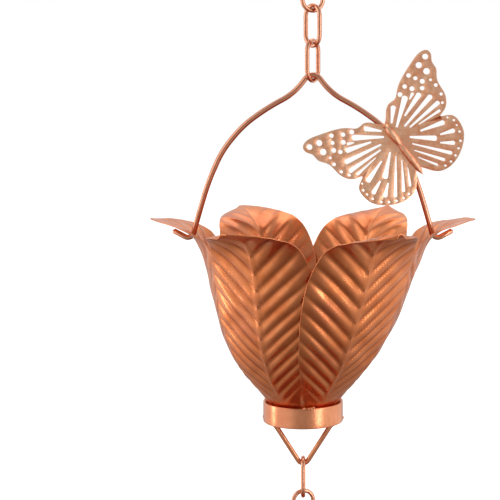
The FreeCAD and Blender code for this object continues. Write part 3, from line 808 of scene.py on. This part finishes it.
@dataclass(frozen=True)
class Cup:
    """Six petals in a collar: the petals as one piece, and the collar with the loop soldered in it.

    A petal is listed by its turn about the axis and by whether it lies over the neighbour before it and
    the one after it. A grid is a petal's rows and the columns of one of its sides. A bead of solder is
    listed by its turn, its middle's way out and up, its half lengths round, out and up, and its seed.
    """

    number: str
    place: Place
    sway: float = 0.0
    petals: tuple[tuple[float, int, int], ...] = (
        (0.0, 0, 0), (60.0, 1, 1), (120.0, 0, 1), (180.0, 0, 0), (240.0, 1, 0), (300.0, 1, 1),
    )
    fine_grid: tuple[int, int] = (134, 57)
    plain_grid: tuple[int, int] = (84, 35)
    collar_radius: float = 20.0
    collar_wall: float = 0.8
    collar_sides: int = 144
    rim_ease: float = 0.35
    loop_wire: float = 2.5
    loop_depth: float = 24.6
    loop_half_span: float = 13.6
    loop_bend: float = 3.0
    loop_end: tuple[float, float] = (18.9, 1.4)
    knee_height: float = -3.0
    beads: tuple[tuple[float, float, float, tuple[float, float, float], int], ...] = (
        (-84.0, 19.4, 10.2, (1.7, 1.0, 0.9), 3),
        (-79.0, 19.5, 10.3, (1.3, 0.9, 0.8), 4),
        (-74.5, 19.2, 10.5, (1.2, 0.9, 0.7), 5),
        (0.0, 18.4, 1.6, (2.3, 1.9, 1.5), 6),
        (180.0, 18.4, 1.6, (2.3, 1.9, 1.5), 7),
    )
    hole_radius: float = 2.3
    drill_length: float = 12.0
    bail_leg: tuple[float, float] = (-3.9, 13.9)
    sharp_degrees: float = 50.0

    def build(self) -> list[bpy.types.Object]:
        """Makes both pieces, lets them ride on the cup's body and stand for its nodes.

        Returns:
            The petals and the collar.
        """
        rows, columns = self.fine_grid if self.number == HERO else self.plain_grid
        first_seed = int(self.number) * 10
        skins = [
            Petal(turn, (before, after), rows, columns, seed=first_seed + index, sway=self.sway).skin()
            for index, (turn, before, after) in enumerate(self.petals)
        ]
        petals = make_piece("petals_pressed_" + self.number, join_skins(skins), self.place)
        self._pierce(petals)
        collar = make_piece("collar_soldered_" + self.number, self._collar(), self.place)
        for piece, node, finish in (
            (petals, "petals_", Finish.PRESSED), (collar, "collar_", Finish.TURNED),
        ):
            finish.dress(piece)
            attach(piece, "cup_" + self.number)
            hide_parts(node + self.number)
        return [petals, collar]

    def _pierce(self, petals: bpy.types.Object) -> None:
        """Cuts the bail's hole in both side petals, along the leg of the bail that passes through it.

        Args:
            petals: the six petals as one piece, whose mesh is replaced by the pierced one.
        """
        drills = []
        for side in (1.0, -1.0):
            bpy.ops.mesh.primitive_cylinder_add(
                vertices=40, radius=self.hole_radius * MM, depth=self.drill_length * MM
            )
            drill = bpy.context.object
            middle = np.array([[side * SEAT[0], 0.0, SEAT[1]]])
            leg = self.place.axes @ np.array([side * self.bail_leg[0], 0.0, self.bail_leg[1]])
            drill.location = self.place.put(middle)[0]
            drill.rotation_mode = "QUATERNION"
            drill.rotation_quaternion = Vector(leg).to_track_quat("Z", "Y")
            cut = petals.modifiers.new("hole", "BOOLEAN")
            cut.operation, cut.solver, cut.object = "DIFFERENCE", "EXACT", drill
            drills.append(drill)
        graph = bpy.context.evaluated_depsgraph_get()
        pierced = bpy.data.meshes.new_from_object(petals.evaluated_get(graph))
        petals.modifiers.clear()
        petals.data = pierced
        pierced.set_sharp_from_angle(angle=math.radians(self.sharp_degrees))
        for drill in drills:
            bpy.data.objects.remove(drill)

    def _collar(self) -> Skin:
        """The collar turned from a section with eased rims, its hanging loop and the solder that shows.

        Returns:
            The skin of all three.
        """
        outer, inner = self.collar_radius, self.collar_radius - self.collar_wall
        top, ease = COLLAR_HEIGHT, self.rim_ease
        arc = np.radians(np.linspace(0, 90, 5))
        lower = np.stack([outer - ease + ease * np.sin(arc), ease - ease * np.cos(arc)], axis=1)
        upper = np.stack([outer - ease + ease * np.cos(arc), top - ease + ease * np.sin(arc)], axis=1)
        wall = np.stack([np.full(5, outer), np.linspace(ease, top - ease, 7)[1:-1]], axis=1)
        section = np.concatenate([[[inner, 0.0]], lower, wall, upper, [[inner, top]]])
        ring = turned_skin(section, self.collar_sides)
        end, knee = np.array(self.loop_end), np.array([self.loop_half_span, self.knee_height])
        flip = np.array([-1.0, 1.0])
        corners = np.array([end * flip, knee * flip, [0.0, -self.loop_depth], knee, end])
        loop = wire_skin(rounded_path(corners, [self.loop_bend] * 3, step=0.4), self.loop_wire)
        collar = join_skins([ring, loop, *[self._bead(*bead) for bead in self.beads]])
        collar.points[:, 0] += self.sway
        return collar

    @staticmethod
    def _bead(turn: float, out: float, up: float, size: tuple[float, float, float], seed: int) -> Skin:
        """A drop of solder: a ball stretched round, out and up, with a few slow lumps.

        Args:
            turn: its place round the collar, in degrees.
            out: how far its middle lies from the axis.
            up: the height of its middle.
            size: its half lengths round, out and up.
            seed: what its lumps are drawn from.

        Returns:
            The drop's skin.
        """
        sides, rings, pole = 20, 12, 88
        angles = np.arange(sides) / sides * TAU
        rise = np.radians(np.linspace(-pole, pole, rings))[:, None]
        phase = np.random.default_rng(seed).uniform(0, TAU, 3)
        lump = 1 + 0.13 * np.sin(2 * angles + phase[0]) * np.cos(rise) + 0.09 * np.sin(3 * rise + phase[1])
        round_way = size[0] * np.cos(rise) * np.cos(angles) * lump
        out_way = size[1] * np.cos(rise) * np.sin(angles) * lump + out
        height = size[2] * np.sin(rise) * lump + up
        cosine, sine = math.cos(math.radians(turn)), math.sin(math.radians(turn))
        x, y = out_way * cosine - round_way * sine, out_way * sine + round_way * cosine
        points = np.stack([x, y, height], axis=-1).reshape(-1, 3)
        return Skin(points, [grid_faces(rings, sides, wrap_columns=True)[:, ::-1]])


@dataclass(frozen=True)
class Bail:
    """The bent wire over a cup.

    The arch lists its right half's corners from the crown down, out and up. The heel's bend is counted
    in wire diameters.
    """

    number: str
    place: Place
    wire: float = 2.7
    sides: int = 28
    crown_bend: float = 4.5
    heel_bend: float = 1.1
    apex: float = 174.7
    arch: tuple[tuple[float, float], ...] = (
        (9.3, 163.0), (22.0, 156.2), (34.0, 147.6), (44.5, 135.2), (51.5, 119.4), (56.0, 104.8),
        (59.9, 90.9), (68.5, 95.5),
    )

    def build(self) -> list[bpy.types.Object]:
        """Makes the wire along straight runs and tangent bends, tight at the crown and the heels.

        Returns:
            The wire.
        """
        right = np.array(self.arch)
        corners = np.concatenate([right[::-1] * [-1.0, 1.0], [[0.0, self.apex]], right])
        radii = even_radii(corners)
        radii[len(radii) // 2] = self.crown_bend
        radii[0] = radii[-1] = self.heel_bend * self.wire
        skin = wire_skin(rounded_path(corners, radii), self.wire, sides=self.sides)
        piece = make_piece("bail_wire_" + self.number, skin, self.place)
        Finish.DRAWN.dress(piece)
        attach(piece, "bail_" + self.number)
        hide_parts("bail_" + self.number)
        return [piece]


@dataclass(frozen=True)
class CarriedNode:
    """A solid of the frame that keeps its form and gets its finish, with its sharp edges eased.

    Edges that turn by more than the eased angle are eased, and those past the sharp one stay sharp.
    """

    node: str
    finish: Finish
    ease: float = 0.1
    weld: float = 0.004
    eased_degrees: float = 35.0
    sharp_degrees: float = 40.0

    def build(self, nodes: dict[str, bpy.types.Object], bodies: dict[str, str]) -> list[bpy.types.Object]:
        """Copies the node, welds the copy, eases its edges and lets it stand for the node.

        Args:
            nodes: the frame's objects by their names.
            bodies: the body of each node.

        Returns:
            The eased copy.
        """
        source = nodes[self.node]
        piece = bpy.data.objects.new(self.node + "_eased", source.data.copy())
        bpy.context.scene.collection.objects.link(piece)
        weld = piece.modifiers.new("weld", "WELD")
        weld.merge_threshold = self.weld * MM
        bevel = piece.modifiers.new("ease", "BEVEL")
        bevel.width = self.ease * MM
        bevel.segments = 2
        bevel.limit_method = "ANGLE"
        bevel.angle_limit = math.radians(self.eased_degrees)
        bevel.harden_normals = False
        self.finish.dress(piece)
        graph = bpy.context.evaluated_depsgraph_get()
        finished = bpy.data.meshes.new_from_object(piece.evaluated_get(graph))
        piece.modifiers.clear()
        piece.data = finished
        finished.shade_smooth()
        finished.set_sharp_from_angle(angle=math.radians(self.sharp_degrees))
        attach(piece, bodies[self.node])
        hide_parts(self.node)
        return [piece]


@dataclass(frozen=True)
class Studio:
    """Plain soft light on a pale ground, and the camera at the photograph's angle on one cup.

    Lengths are in millimetres from the cup's foot, apart from the floor's size in metres. A lamp is
    listed by its name, its place from the point that it is aimed at, its width and height, and its power.
    The overhead light is what the metal mirrors from above, and the diffuse share is how much of the
    surround lights what is not a mirror.
    """

    focus: Place
    lens: float = 107.0
    distance: float = 730.0
    eye_height: float = 175.0
    aim_height: float = 86.0
    side: float = 6.0
    shift: tuple[float, float] = (-0.15, 0.0)
    overhead: float = 0.52
    diffuse_share: float = 0.8
    floor_size: float = 12.0
    floor_glow: float = 0.7
    floor_tone: str = "#F4F3F1"
    # What the copper mirrors of the floor is painted: a dark tone, and a glow that grows away from the
    # chain.
    painted_floor_reflection_tone: str = "#6B5A50"
    painted_floor_reflection_glow: tuple[float, float] = (0.14, 1.0)
    lamp_aim: float = 60.0
    lamps: tuple[tuple[str, tuple[float, float, float], tuple[float, float], float], ...] = (
        ("key", (-850.0, -450.0, 550.0), (700.0, 700.0), 1.9),
        ("fill", (850.0, -350.0, 350.0), (700.0, 700.0), 1.3),
        ("top", (0.0, 450.0, 1000.0), (900.0, 900.0), 2.6),
        ("strip_right", (620.0, -580.0, -60.0), (90.0, 700.0), 1.1),
        ("strip_left", (-880.0, 30.0, -60.0), (110.0, 700.0), 1.3),
    )

    def build(self, floor_height: float) -> None:
        """Sets up the world, the floor, the lamps and the camera.

        Args:
            floor_height: the floor's height in metres.
        """
        self._world()
        self._floor(floor_height)
        for name, spot, size, power in self.lamps:
            self._lamp(name, spot, size, power)
        self._camera()
        scene = bpy.context.scene
        scene.view_settings.view_transform = "Standard"

    def _world(self) -> None:
        """A pale surround: white to the eye, and to metal white behind and darker on the camera's side."""
        world = bpy.data.worlds.new("studio")
        bpy.context.scene.world = world
        tree = empty_tree(world)
        way = add_node(tree, "TexCoord").outputs["Generated"]
        parts = add_node(tree, "SeparateXYZ", {0: way}).outputs
        rise = graded(tree, parts[2], (-0.5, 0.02), (0.1, 0.9), "SMOOTHSTEP")
        climb = graded(tree, parts[2], (0.1, 0.42), (0.0, 1.0), "SMOOTHSTEP")
        low = mix(tree, climb, self._beside(tree, way), self.overhead)
        back = graded(tree, parts[1], (-0.5, 0.15), (0.0, 1.0), "SMOOTHSTEP")
        depth = product(tree, rise, mix(tree, back, low, 1.0))
        ray = add_node(tree, "LightPath").outputs
        direct = {0: ray["Is Camera Ray"], 1: ray["Is Transmission Ray"]}
        shown = add_node(tree, "Math", direct, operation="MAXIMUM").outputs[0]
        soft = product(tree, depth, self.diffuse_share)
        mirrored = mix(tree, ray["Is Glossy Ray"], soft, depth)
        strength = mix(tree, shown, mirrored, 1.0)
        light = add_node(tree, "Background", {"Color": (1, 1, 1, 1), "Strength": strength})
        add_node(tree, "OutputWorld", {"Surface": light.outputs[0]})

    @staticmethod
    def _beside(tree: Tree, way: Socket) -> Socket:
        """Darker straight ahead of and behind the camera than at both sides.

        Args:
            tree: the node tree that gets the nodes.
            way: the socket that gives a direction.

        Returns:
            The socket that gives the share of light.
        """
        parts = add_node(tree, "SeparateXYZ", {0: way}).outputs
        side = add_node(tree, "Math", {0: parts[0]}, operation="ABSOLUTE").outputs[0]
        return graded(tree, side, (0.25, 0.8), (0.42, 1.0), "SMOOTHSTEP")

    def _floor(self, height: float) -> None:
        """A pale floor under the chain's end, that keeps its shadow.

        To the camera it glows, so that it stays white. In the copper's mirror it is a painted reflection: a
        dark brown tone with a glow that grows away from the chain and towards the sides, so it is dark near
        the chain and pale farther out.

        Args:
            height: the floor's height in metres.
        """
        bpy.ops.mesh.primitive_grid_add(
            x_subdivisions=2, y_subdivisions=2, size=self.floor_size, location=(0, 0, height)
        )
        floor = bpy.context.object
        floor.name = "floor"
        material = bpy.data.materials.new("pale_paper_floor")
        tree = empty_tree(material)
        ray = add_node(tree, "LightPath").outputs
        place = add_node(tree, "TexCoord").outputs["Object"]
        reach = add_node(tree, "VectorMath", {0: place}, operation="LENGTH").outputs["Value"]
        toward = add_node(tree, "VectorMath", {0: place}, operation="NORMALIZE").outputs["Vector"]
        # Painted reflection: only glossy rays see this glow, which grows with the distance from the chain
        # and towards the sides.
        paled = graded(tree, reach, (-0.1, 1.1), self.painted_floor_reflection_glow, "SMOOTHSTEP")
        glint = product(tree, paled, self._beside(tree, toward))
        mirrored = product(tree, glint, ray["Is Glossy Ray"])
        tones = linear(self.floor_tone), linear(self.painted_floor_reflection_tone)
        surface = {
            "Roughness": 0.9,
            "Emission Color": (1, 1, 1, 1),
            # Painted shade in the mirror: glossy rays see the floor dark brown, not pale.
            "Base Color": mix(tree, ray["Is Glossy Ray"], *tones, tones=True),
            "Emission Strength": mix(tree, ray["Is Camera Ray"], mirrored, self.floor_glow),
        }
        paper = add_node(tree, "BsdfPrincipled", surface)
        add_node(tree, "OutputMaterial", {"Surface": paper.outputs[0]})
        floor.data.materials.append(material)
        floor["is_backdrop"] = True

    def _lamp(
        self, name: str, spot: tuple[float, float, float], size: tuple[float, float], power: float
    ) -> None:
        """One soft lamp, aimed at the cup.

        Args:
            name: the lamp's name.
            spot: its place from the point in the cup that it is aimed at, in millimetres.
            size: its width and height in millimetres.
            power: its power in watts.
        """
        data = bpy.data.lights.new(name, "AREA")
        data.shape = "RECTANGLE"
        data.size, data.size_y = size[0] * MM, size[1] * MM
        data.energy = power
        lamp = bpy.data.objects.new(name, data)
        bpy.context.scene.collection.objects.link(lamp)
        target = Vector(self.focus.origin) + Vector((0, 0, self.lamp_aim * MM))
        lamp.location = target + Vector(spot) * MM
        lamp.rotation_mode = "QUATERNION"
        lamp.rotation_quaternion = (target - lamp.location).to_track_quat("-Z", "Y")

    def _camera(self) -> None:
        """The camera before the cup, a little above its rim, looking slightly down."""
        data = bpy.data.cameras.new("camera")
        data.lens = self.lens
        data.sensor_width = 36.0
        data.clip_start, data.clip_end = 0.01, 100.0
        data.shift_x, data.shift_y = self.shift
        camera = bpy.data.objects.new("camera", data)
        bpy.context.scene.collection.objects.link(camera)
        z = self.focus.origin[2]
        camera.location = Vector((self.side * MM, -self.distance * MM, z + self.eye_height * MM))
        aim = Vector((self.side * MM, 0.0, z + self.aim_height * MM))
        camera.rotation_mode = "QUATERNION"
        camera.rotation_quaternion = (aim - camera.location).to_track_quat("-Z", "Y")
        bpy.context.scene.camera = camera


@dataclass
class RainChain:
    """The whole chain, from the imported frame."""

    frame: dict
    made: list[bpy.types.Object] = field(default_factory=list)

    def places(self) -> dict[str, Place]:
        """Where each cup hangs, from the joints of its bail and its seats.

        The seats' line is x, on the side of the butterfly, and the way from it to the bail's pivot is z.

        Returns:
            The place of each cup by its number.
        """
        joints = {joint["name"]: joint for joint in self.frame["joints"]}
        found = {}
        for name, joint in joints.items():
            if not name.endswith("_cup_tip"):
                continue
            number = name.split("_")[1]
            seat = np.array(joint["pos_m"])
            x = np.array(joint["axis"], float)
            pivot = np.array(joints["unit_%s_bail_swing" % number]["pos_m"])
            low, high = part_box("butterfly_" + number)
            x *= math.copysign(1.0, float((np.array(low + high) / 2 - seat) @ x))
            z = (pivot - seat) / np.linalg.norm(pivot - seat)
            axes = np.stack([x, np.cross(z, x), z], axis=1)
            found[number] = Place(seat - z * SEAT[1] * MM, axes)
        return found

    def build(self) -> dict[str, Place]:
        """Dresses every unit from the top down.

        Returns:
            The place of each cup by its number.
        """
        nodes = self.frame["nodes"]
        groups = self.frame["record"]["behaviour"]["bodies"]
        bodies = {node: body for body, members in groups.items() for node in members}
        places = self.places()
        for number, place in sorted(places.items(), reverse=True):
            low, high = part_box("collar_" + number)
            offset = (np.array(low + high) / 2 - place.origin) @ place.axes[:, 0] / MM
            self.made += Cup(number, place, float(offset)).build()
            self.made += Bail(number, place).build()
            self.made += CarriedNode("butterfly_" + number, Finish.CUT, ease=0.12).build(nodes, bodies)
            Finish.DRAWN.dress(nodes["links_" + number])
        for node in ("gutter_hook", "hook_ring"):
            Finish.AGED.dress(nodes[node])
        return places


def main() -> None:
    """Builds the chain and the studio."""
    logging.basicConfig(level=logging.INFO, format="%(message)s")
    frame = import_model()
    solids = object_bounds()
    chain = RainChain(frame)
    places = chain.build()
    for piece in chain.made:
        LOG.info("%s: %d faces", piece.name, len(piece.data.polygons))
    Studio(places[HERO]).build(solids[0].z - FLOOR_GAP)


if __name__ == "__main__":
    main()
